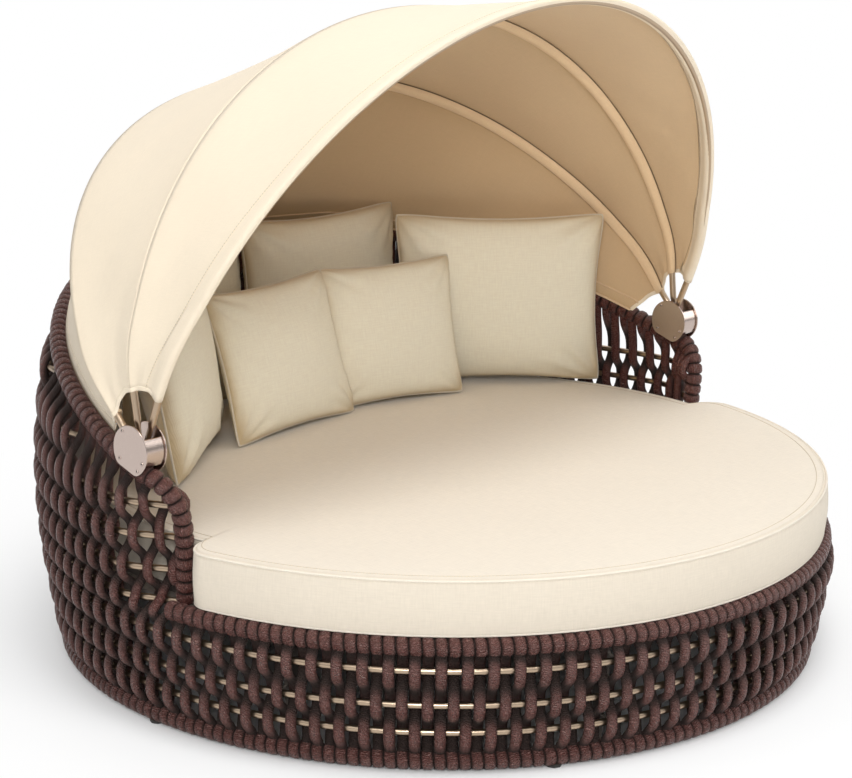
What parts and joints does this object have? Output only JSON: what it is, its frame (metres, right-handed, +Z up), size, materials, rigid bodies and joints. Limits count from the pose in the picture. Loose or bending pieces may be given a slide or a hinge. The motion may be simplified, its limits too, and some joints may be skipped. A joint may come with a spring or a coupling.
{
  "type": "outdoor daybed with canopy",
  "caption": "Round rope-woven outdoor daybed with a thick mattress, loose cushions and a three-bow fabric canopy that folds back over the raised rear wall.",
  "frame": {"origin": "middle of the base, on the floor under the glides", "axes": "+Z up, -Y towards the open front, +X to the right of someone who looks at the front"},
  "size_m": [1.8826, 1.8677, 1.5108],
  "materials": {
    "rope": "twisted synthetic rope, slight sheen",
    "bronze_metal": "satin, bronze tinted",
    "inner_frame": "powder coat, matt",
    "glide_plastic": "moulded, matt",
    "canopy_fabric": "plain weave, cream",
    "mattress_fabric": "fine weave, cream",
    "cushion_fabric": "linen weave, sand"
  },
  "bodies": {
    "root": {"wall_front_1": "rope", "wall_front_2": "rope", "wall_front_3": "rope", "wall_front_4": "rope", "wall_front_5": "rope", "wall_back_1": "rope", "wall_back_2": "rope", "wall_back_3": "rope", "wall_back_4": "rope", "wall_back_5": "rope", "wall_back_6": "rope", "wall_back_7": "rope", "rod_ring_1": "bronze_metal", "rod_ring_2": "bronze_metal", "rod_ring_3": "bronze_metal", "rod_back_4": "bronze_metal", "rod_back_5": "bronze_metal", "rod_back_6": "bronze_metal", "rod_back_7": "bronze_metal", "rod_back_8": "bronze_metal", "rod_back_9": "bronze_metal", "rod_back_10": "bronze_metal", "post_left": "rope", "post_right": "rope", "rib_1": "inner_frame", "rib_2": "inner_frame", "rib_3": "inner_frame", "rib_4": "inner_frame", "rib_5": "inner_frame", "rib_6": "inner_frame", "rib_7": "inner_frame", "rib_8": "inner_frame", "seat_deck": "inner_frame", "glide_1": "glide_plastic", "glide_2": "glide_plastic", "glide_3": "glide_plastic", "glide_4": "glide_plastic", "glide_5": "glide_plastic", "glide_6": "glide_plastic", "hub_right_outer_plate": "bronze_metal", "hub_left_outer_plate": "bronze_metal", "hub_right_inner_plate": "bronze_metal", "hub_left_inner_plate": "bronze_metal", "hub_right_body": "bronze_metal", "hub_left_body": "bronze_metal", "hub_right_pivot_pin": "bronze_metal", "hub_left_pivot_pin": "bronze_metal", "mattress": "mattress_fabric", "cushion_left_side": "cushion_fabric", "cushion_back_left": "cushion_fabric", "cushion_back_centre": "cushion_fabric", "cushion_back_right": "cushion_fabric", "cushion_throw_left": "cushion_fabric", "cushion_throw_right": "cushion_fabric"},
    "rear_bow": {"bow_rear": "bronze_metal", "canopy_rear": "canopy_fabric"},
    "middle_bow": {"bow_middle": "bronze_metal", "canopy_middle": "canopy_fabric"},
    "front_bow": {"bow_front": "bronze_metal", "canopy_front": "canopy_fabric"}
  },
  "joints": [
    {"name": "rear_bow_fold", "type": "hinge", "parent": "root", "child": "rear_bow", "pos_m": [0, 0.011, 0.608], "axis": [-1, 0, 0], "range_deg": [0, 26.7], "deforming": ["canopy_rear"]},
    {"name": "middle_bow_fold", "type": "hinge", "parent": "rear_bow", "child": "middle_bow", "pos_m": [0, 0.011, 0.608], "axis": [-1, 0, 0], "range_deg": [0, 23.8], "deforming": ["canopy_middle"]},
    {"name": "front_bow_fold", "type": "hinge", "parent": "middle_bow", "child": "front_bow", "pos_m": [0, 0.011, 0.608], "axis": [-1, 0, 0], "range_deg": [0, 18.7], "deforming": ["canopy_front"]}
  ],
  "couplings": [
    {"joint": "middle_bow_fold", "follows": "rear_bow_fold", "ratio": 0.8913},
    {"joint": "front_bow_fold", "follows": "rear_bow_fold", "ratio": 0.7003}
  ]
}
